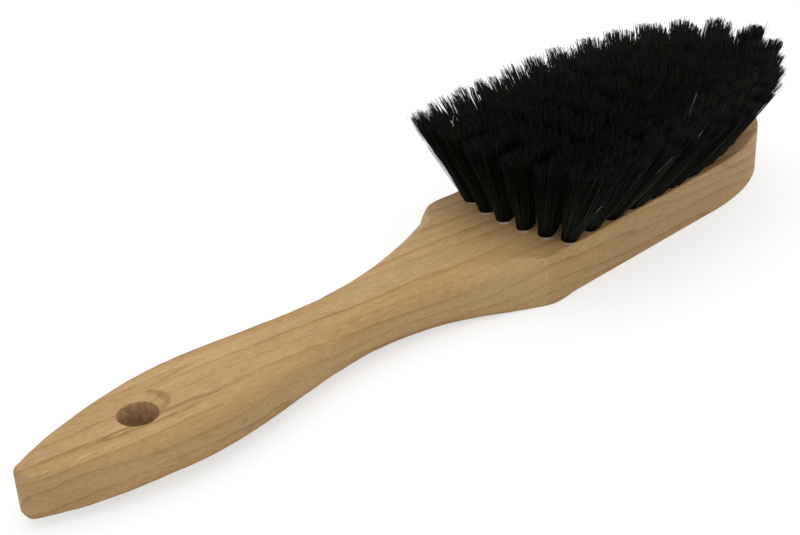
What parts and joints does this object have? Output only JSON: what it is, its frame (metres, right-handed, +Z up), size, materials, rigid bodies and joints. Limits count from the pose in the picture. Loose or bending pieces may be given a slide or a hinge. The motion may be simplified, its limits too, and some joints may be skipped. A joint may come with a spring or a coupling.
{
  "type": "corner brush",
  "caption": "One-piece wooden hand brush with a flared head, rounded nose and hanging hole, filled with black bristles that splay outward to reach into corners.",
  "frame": {"origin": "on the head's flat back, halfway along the head, on the middle line of its outline", "axes": "+X along the brush from the handle to the head's nose, +Z up through the head to the bristles' tips, +Y sideways to complete a right-handed set"},
  "size_m": [0.3274, 0.0797, 0.048],
  "materials": {
    "beech": "fine sanded and lightly waxed",
    "black_bristle": "satin filaments"
  },
  "bodies": {
    "root": {"wooden_body": "beech", "tuft_outer_01": "black_bristle", "tuft_outer_02": "black_bristle", "tuft_outer_03": "black_bristle", "tuft_outer_04": "black_bristle", "tuft_outer_05": "black_bristle", "tuft_outer_06": "black_bristle", "tuft_outer_07": "black_bristle", "tuft_outer_08": "black_bristle", "tuft_outer_09": "black_bristle", "tuft_outer_10": "black_bristle", "tuft_outer_11": "black_bristle", "tuft_outer_12": "black_bristle", "tuft_outer_13": "black_bristle", "tuft_outer_14": "black_bristle", "tuft_outer_15": "black_bristle", "tuft_outer_16": "black_bristle", "tuft_outer_17": "black_bristle", "tuft_outer_18": "black_bristle", "tuft_outer_19": "black_bristle", "tuft_outer_20": "black_bristle", "tuft_outer_21": "black_bristle", "tuft_outer_22": "black_bristle", "tuft_outer_23": "black_bristle", "tuft_outer_24": "black_bristle", "tuft_outer_25": "black_bristle", "tuft_middle_01": "black_bristle", "tuft_middle_02": "black_bristle", "tuft_middle_03": "black_bristle", "tuft_middle_04": "black_bristle", "tuft_middle_05": "black_bristle", "tuft_middle_06": "black_bristle", "tuft_middle_07": "black_bristle", "tuft_middle_08": "black_bristle", "tuft_middle_09": "black_bristle", "tuft_middle_10": "black_bristle", "tuft_middle_11": "black_bristle", "tuft_middle_12": "black_bristle", "tuft_middle_13": "black_bristle", "tuft_middle_14": "black_bristle", "tuft_middle_15": "black_bristle", "tuft_middle_16": "black_bristle", "tuft_middle_17": "black_bristle", "tuft_middle_18": "black_bristle", "tuft_middle_19": "black_bristle", "tuft_inner_01": "black_bristle", "tuft_inner_02": "black_bristle", "tuft_inner_03": "black_bristle", "tuft_inner_04": "black_bristle", "tuft_inner_05": "black_bristle", "tuft_inner_06": "black_bristle", "tuft_inner_07": "black_bristle", "tuft_inner_08": "black_bristle", "tuft_inner_09": "black_bristle", "tuft_inner_10": "black_bristle", "tuft_inner_11": "black_bristle", "tuft_inner_12": "black_bristle", "tuft_inner_13": "black_bristle", "tuft_inner_14": "black_bristle", "tuft_inner_15": "black_bristle"}
  },
  "joints": []
}
